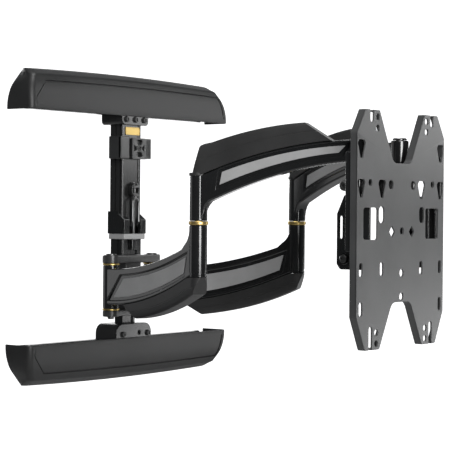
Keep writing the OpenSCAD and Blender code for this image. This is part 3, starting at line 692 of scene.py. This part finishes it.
def cable_cover(top_line, low_line, half, wrap):
    """Cover lofted along the arm: stations run from the arm to the far edge, the end wraps the post."""
    sections = []
    for (s0, z0), (s1, z1) in zip(top_line, low_line):
        left = []
        for f, w in COVER_PROFILE:
            s, z = s0 + (s1 - s0) * f, z0 + (z1 - z0) * f
            past = (s - LINK) if wrap > 0 else -s
            reach = half if past <= 0 else math.sqrt(max(9.0, half * half - past * past))
            left.append((s, -min(reach, half * w), z))
        sections.append(left + [(x, -y, z) for x, y, z in left[::-1]])
    return loft(sections)


def lower_cover_lines():
    s_top = spread(52, 224, 18) + [228, 231, 234, 236.5, 237.6]
    s_low = spread(84, 218, 18) + [221, 223.5, 226, 228, 229.2]
    return [(s, min(low_base(s), -65.2)) for s in s_top], [(s, low_cover(s)) for s in s_low]


def upper_cover_lines():
    s_top = [-6.5, -5, -3, 0] + spread(4, 186, 20)
    s_low = [4.8, 6, 8, 11] + spread(15, 149, 20)
    low = [(s, min(up_cover(s), 111.5 + 0.42 * (s - 4.8))) for s in s_low]
    return [(s, max(up_top(s), 71.2) + 0.2) for s in s_top], low


LOWER_RODS = [
    (0, rod(BARREL_R, -118.3, -55.7, 0.9)),
    (LINK, [
        (0, -65), (11, -65), (12, -64), (12, -62), (11.3, -61.6), (11.3, -59.4), (12, -59), (12, 4.3),
        (11, 5.3), (0, 5.3),
    ]),
]
UPPER_RODS = [
    (0, [(0, 10.8), (11.2, 10.8), (12, 11.6), (12, 70.2), (11.8, 71), (0, 71)]),
    (LINK, [(0, 88.5), (10.8, 88.5), (12, 89.7), (12, 119.0), (11.6, 120.0), (10.8, 120.5), (0, 120.5)]),
]
COLLAR = [(11.2, 71.2), (12.7, 71.2), (13.1, 71.7), (13.1, 74.6), (12.7, 75.2), (11.2, 75.2)]

for side, word in SIDES:
    for kind, outline, inlay, start, rods in (
        ("lower", lower_outline, lower_inlay, 17.0, LOWER_RODS),
        ("upper", upper_outline, upper_inlay, 29.5, UPPER_RODS),
    ):
        at = arm_place(kind, side)
        bm = arm_body(outline, inlay, rods)
        bm.transform(at)
        add(f"{kind}_{word}_arm_casting", bm, "gloss_black", f"{kind}_arm_{word}")
        bm = inlays(inlay, start)
        bm.transform(at)
        add(f"{kind}_{word}_arm_fields", bm, "satin_grey", f"{kind}_inlays_{word}")
        if kind == "lower":
            bm = cable_cover(*lower_cover_lines(), 12.0, 1)
        else:
            bm = joined(cable_cover(*upper_cover_lines(), 12.0, -1), lathe(COLLAR))
        bm.transform(at)
        add(f"{kind}_{word}_cable_duct", bm, "cable_plastic", f"{kind}_cable_cover_{word}")
    bm = lathe(ring(5.05, 13.3, 5.3, 10.5, 1.0), place=shift(side * ELBOW_X, ELBOW_Y, 0))
    add(f"elbow_ring_{word}", bm, "brass", f"elbow_washer_{word}")


# ---------------------------------------------------------------- head

yoke_parts = [plan_block([rect(-70, 70, HEAD_Y - 10, HEAD_Y + 12, 4, 5)], 40.0, 84.0, 1.6)]
for side in (-1, 1):
    yoke_parts.append(lathe(rod(BARREL_R, 40, 86, 1.0), place=shift(side * PIVOT_X, HEAD_Y, 0)))
    drop = rounded([
        (TILT_Y - 9, TILT_Z - 9, 8), (TILT_Y + 9, TILT_Z - 9, 8), (HEAD_Y + 12, 46, 0.5), (HEAD_Y - 10, 46, 0.5),
    ], 8)
    lo, hi = sorted((side * 62.0, side * 70.0))
    yoke_parts.append(side_block([drop], lo, hi, 1.4))
add("yoke_casting", joined(*yoke_parts), "gloss_black", "head_yoke")
for side, word in SIDES:
    cap = [
        (0, 121.1), (9.5, 121.1), (9.5, 122.8), (8.6, 123.8), (7.6, 123.9), (4.2, 123.9), (3.6, 123.2),
        (0, 123.2),
    ]
    core = [(0, 84), (5, 84), (5, 121.1), (0, 121.1)]
    at = shift(side * PIVOT_X, HEAD_Y, 0)
    add(f"head_pivot_cap_{word}", joined(lathe(cap, 40, at), lathe(core, 24, at)), "gloss_black", f"head_pin_{word}")
rings = [lathe(ring(5.1, 12, 86, 88.2, 0.5), place=shift(side * PIVOT_X, HEAD_Y, 0)) for side in (-1, 1)]
add("head_pivot_washers", joined(*rings), "brass", "head_washers")


def facing(side, x):
    """Local +Z points outwards along X at the given side."""
    turn = Matrix.Rotation(math.radians(90 * side), 4, "Y")
    return shift(side * x, 0, 0) @ turn


GRIP_RIBS, GRIP_POINTS = 14, 112

for side, word in SIDES:
    at = shift(0, HEAD_Y + 7, 58) @ facing(side, 79)
    grip = []
    for i in range(GRIP_POINTS):
        a = 2 * math.pi * i / GRIP_POINTS
        r = 6.75 + 0.25 * math.cos(GRIP_RIBS * a)
        grip.append((r * math.cos(a), r * math.sin(a)))
    knob = joined(
        slab([grip], 3.3, 0.8, 2, at @ shift(0, 0, -0.6)),
        lathe([
            (0, 2.8), (2.0, 2.8), (2.2, 3.4), (2.2, 4.2), (2.6, 4.6), (4.6, 4.6), (5.6, 3.6), (5.9, 2.2),
            (0, 2.2),
        ], 40, at),
        lathe([(0, -5), (5.2, -5), (5.6, -4.6), (5.6, -3), (0, -3)], 40, at),
        lathe([(0, -21), (2.7, -21), (2.7, -4), (0, -4)], 24, at),
    )
    add(f"knob_grip_{word}", knob, "knob_black", f"tension_knob_{word}")
    outline = rounded([
        (PLATE_BACK, -50, 1), (HEAD_Y + 15, -50, 4), (HEAD_Y + 20.2, -43, 3), (HEAD_Y + 20.2, 22, 4),
        (HEAD_Y + 9.3, 46, 3), (PLATE_BACK, 46, 1),
    ], 5)
    slot = obround(HEAD_Y + 14, -10.4, 19.4, 2.4)
    small_holes = [circle(HEAD_Y + 3, -19.5, 2.4, 20), circle(TILT_Y, TILT_Z, 4.1, 28)]
    lo, hi = sorted((side * 73.0, side * 76.5))
    plate_side = side_block([outline, slot] + small_holes, lo, hi, 0.7)
    lo, hi = sorted((side * 73.0, side * 92.0))
    flanges = [box(lo, hi, PLATE_BACK, PLATE_BACK + 2.5, z0, z1, 0.6) for z0, z1 in ((-50, -16), (34, 46))]
    boss_at = shift(0, TILT_Y, TILT_Z) @ facing(side, 76.5)
    boss = lathe([
        (4.1, -0.4), (4.1, 1.9), (5.4, 1.9), (5.7, 1.2), (6.3, 1.2), (6.5, 2.0), (6.9, 2.5), (7.5, 1.9),
        (7.5, -0.4),
    ], 44, boss_at)
    side_plate = joined(plate_side, *flanges, boss)
    add(f"tilt_side_plate_{word}", side_plate, "gloss_black", f"tilt_bracket_{word}")
bolt = [
    (0, 4.2), (2.4, 4.2), (2.4, 5.8), (2.7, 6.0), (4.6, 6.0), (5.3, 5.4), (5.4, 4.8), (5.4, 2.5), (0, 2.5),
]
bolts = [lathe(bolt, 40, shift(0, TILT_Y, TILT_Z) @ facing(side, 76.5)) for side in (-1, 1)]
add("tilt_bolt_heads", joined(*bolts), "dark_steel", "tilt_bolts")


# ---------------------------------------------------------------- screen plate

PLATE_HALF = [
    (23, -89, 14), (54, -148, 3), (72, -148, 0.5), (72, -118, 3.9), (80, -118, 3.9), (80, -148, 0.5),
    (89, -148, 4), (110, -105, 7), (110, 129, 7), (91, 159, 3), (80, 159, 1.2), (80, 143, 3.9),
    (72, 143, 3.9), (72, 159, 1.2), (57, 159, 3), (22, 92, 14),
]
RIM_HALF = [
    (23, -89, 14), (54, -148, 3), (89, -148, 4), (110, -105, 7), (110, 129, 7), (91, 159, 3), (57, 159, 3),
    (22, 92, 14),
]


def both_halves(half):
    return half + [(-x, y, r) for x, y, r in half[::-1]]


def inset(points, d):
    out = []
    n = len(points)
    for i, (x, y, r) in enumerate(points):
        a, b, c = Vector(points[i - 1][:2]), Vector((x, y)), Vector(points[(i + 1) % n][:2])
        u, w = (b - a).normalized(), (c - b).normalized()
        nu, nw = Vector((-u.y, u.x)), Vector((-w.y, w.x))
        p = b + (nu + nw) * d / (1 + nu.dot(nw))
        out.append((p.x, p.y, r))
    return out


def keyhole(u, v):
    return rounded([
        (u - 4, v - 4, 3.9), (u + 4, v - 4, 3.9), (u + 4, v, 0), (u + 9, v + 14, 2), (u + 9, v + 16, 2),
        (u + 6, v + 20, 2), (u - 6, v + 20, 2), (u - 9, v + 16, 2), (u - 9, v + 14, 2), (u - 4, v, 0),
    ], 4)


def plate_holes():
    holes = [circle(0, v, 5) for v in (4, -51, -82)]
    for s in (-1, 1):
        holes += [keyhole(s * 100, 100), keyhole(s * 100, 50), keyhole(s * 50, 50)]
        holes += [obround(s * 100, -54, -36, 4), obround(s * 50, -54, -36, 4)]
        holes += [obround(s * 100, -104, -86, 4)]
        holes += [circle(s * 79, 66, 4.5), circle(s * 28, 64, 6), obround(s * 51, 14, 36, 6.5)]
        holes += [circle(s * 62, v, 4.2) for v in (150, 136, -126, -140)]
        holes.append(rounded([(s * 18, 3, 0.8), (s * 25, 11, 0.8), (s * 31.5, 3, 0.8), (s * 25, -5, 0.8)], 3))
        holes.append(rect(s * 78 - 17, s * 78 + 17, -7, 34, 4, 5))
    return holes


sheet_at = shift(0, (PLATE_Y + PLATE_BACK) / 2, PLATE_Z) @ XZ
sheet = slab([rounded(both_halves(PLATE_HALF))] + plate_holes(), PLATE_T / 2, 0.55, 2, sheet_at)
rim_outline = rounded(both_halves(RIM_HALF))
rim_inside = rounded(inset(both_halves(RIM_HALF), 2.4))
rim_at = shift(0, PLATE_Y + 5.9, PLATE_Z) @ XZ
rim = slab([rim_outline, rim_inside], 5.1, 0.6, 2, rim_at)
# The rim is left open over the ear slots.
for cut in (-86, -80, -72, -66, 66, 72, 80, 86):
    everything = rim.verts[:] + rim.edges[:] + rim.faces[:]
    bmesh.ops.bisect_plane(rim, geom=everything, plane_co=(cut, 0, 0), plane_no=(1, 0, 0))
in_slot = []
for face in rim.faces:
    at = face.calc_center_median()
    low, high = (66, 86) if at.z > 0 else (72, 80)
    if low < abs(at.x) < high and abs(at.z - PLATE_Z) > 110:
        in_slot.append(face)
bmesh.ops.delete(rim, geom=in_slot, context="FACES")
bmesh.ops.holes_fill(rim, edges=[e for e in rim.edges if e.is_boundary])
plate = joined(sheet, rim)
for s in (-1, 1):
    for v in (35, -8):
        lo, hi = sorted((s * 78.5, s * 90.5))
        tab = box(lo, hi, PLATE_BACK - 0.5, PLATE_Y + 6, PLATE_Z + v - 1, PLATE_Z + v + 1, 0.5)
        plate = joined(plate, tab)
add("pressed_screen_plate", plate, "plate_grey", "screen_plate")


for side, word in SIDES:
    wall_x, flange_x = sorted((side * 104.9, side * 107.3)), sorted((side * 94, side * 106))
    channel = joined(
        box(*wall_x, PLATE_BACK, HEAD_Y - 12, -26, 100, 0.9),
        *[box(*flange_x, PLATE_BACK, PLATE_BACK + 2.4, z0, z1, 0.7) for z0, z1 in ((-26, 41), (67, 91))],
    )
    add(f"edge_channel_{word}", channel, "gloss_black", f"plate_channel_{word}")


# ---------------------------------------------------------------- camera, light, background

for node, obj in frame["nodes"].items():
    obj.data.materials.clear()
    obj.data.materials.append(MATERIALS[SLOT_OF[node]])

YAW, PITCH, ROLL = math.radians(53.19), math.radians(-0.40), math.radians(0.47)
STAND = (-1.874, -1.612, 0.021)
FOCAL, SENSOR = 1655.0 / 450.0, 36.0  # focal length in image widths, and sensor width
ahead = Vector((math.sin(YAW) * math.cos(PITCH), math.cos(YAW) * math.cos(PITCH), math.sin(PITCH)))
level = Vector((math.cos(YAW), -math.sin(YAW), 0))
above = level.cross(ahead)
right = level * math.cos(ROLL) + above * math.sin(ROLL)
up = above * math.cos(ROLL) - level * math.sin(ROLL)
camera_data = bpy.data.cameras.new("camera")
camera_data.sensor_width = SENSOR
camera_data.lens = FOCAL * SENSOR
camera_data.clip_end = 50
camera = bpy.data.objects.new("camera", camera_data)
SCENE.collection.objects.link(camera)
camera.matrix_world = Matrix((
    (right.x, up.x, -ahead.x, STAND[0]),
    (right.y, up.y, -ahead.y, STAND[1]),
    (right.z, up.z, -ahead.z, STAND[2]),
    (0, 0, 0, 1),
))
SCENE.camera = camera


def backdrop(name, centre, facing, width, height, strength, tone):
    mesh = bpy.data.meshes.new(name)
    bm = bmesh.new()
    for x, y in ((-1, -1), (1, -1), (1, 1), (-1, 1)):
        bm.verts.new((x * width / 2, y * height / 2, 0))
    bm.faces.new(bm.verts)
    bm.to_mesh(mesh)
    bm.free()
    obj = bpy.data.objects.new(name, mesh)
    SCENE.collection.objects.link(obj)
    obj.location = centre
    obj.rotation_euler = Vector(facing).to_track_quat("Z", "Y").to_euler()
    mat = bpy.data.materials.new(name)
    mat.use_nodes = True
    shader = mat.node_tree.nodes["Principled BSDF"]
    shader.inputs["Base Color"].default_value = (tone, tone, tone, 1)
    shader.inputs["Roughness"].default_value = 0.9
    shader.inputs["Emission Color"].default_value = (1, 1, 1, 1)
    shader.inputs["Emission Strength"].default_value = strength
    mesh.materials.append(mat)
    return obj


def soft_light(name, place, target, width, height, power):
    light = bpy.data.lights.new(name, "AREA")
    light.shape = "RECTANGLE"
    light.size, light.size_y, light.energy = width, height, power
    obj = bpy.data.objects.new(name, light)
    SCENE.collection.objects.link(obj)
    obj.location = place
    obj.rotation_euler = (Vector(place) - Vector(target)).to_track_quat("Z", "Y").to_euler()
    return obj


centre = Vector((0, -0.25, 0))
backdrop("backdrop", centre + ahead * 7.0, -ahead, 9.2, 8.1, 1.1, 0.9)
backdrop("floor", (0, -0.5, -1.1), (0, 0, 1), 7.0, 7.0, 0.0, 0.45)
soft_light("camera_side", (-1.35, -2.6, 0.5), centre, 1.1, 1.3, 92)
soft_light("left_high", (-1.3, -1.3, 1.3), centre, 1.0, 1.0, 30)
soft_light("right_high", (1.4, -1.0, 0.62), (0.1, -0.2, 0.1), 0.6, 1.0, 10)
soft_light("right_low", (2.1, -1.35, -0.6), centre, 0.8, 0.9, 12)
soft_light("top", (0.0, -0.2, 2.0), centre, 0.6, 0.8, 22)
soft_light("rear", (1.3, 2.3, 0.7), centre, 1.2, 1.2, 26)
soft_light("rear_left", (-0.9, 2.3, 0.2), centre, 1.2, 1.2, 4)

# The camera sees a paler surround than the one that lights the object.
world = bpy.data.worlds.new("studio")
SCENE.world = world
world.use_nodes = True
nodes, links = world.node_tree.nodes, world.node_tree.links
ambient = nodes["Background"]
ambient.inputs["Color"].default_value = (0.9, 0.95, 1.0, 1)
ambient.inputs["Strength"].default_value = 0.12
surround = nodes.new("ShaderNodeBackground")
surround.inputs["Color"].default_value = (0.9, 0.9, 0.9, 1)
surround.inputs["Strength"].default_value = 0.8
rays, mixed = nodes.new("ShaderNodeLightPath"), nodes.new("ShaderNodeMixShader")
links.new(rays.outputs["Is Camera Ray"], mixed.inputs["Fac"])
links.new(ambient.outputs["Background"], mixed.inputs[1])
links.new(surround.outputs["Background"], mixed.inputs[2])
links.new(mixed.outputs["Shader"], nodes["World Output"].inputs["Surface"])
SCENE.view_settings.view_transform = "Standard"

bpy.context.view_layer.update()
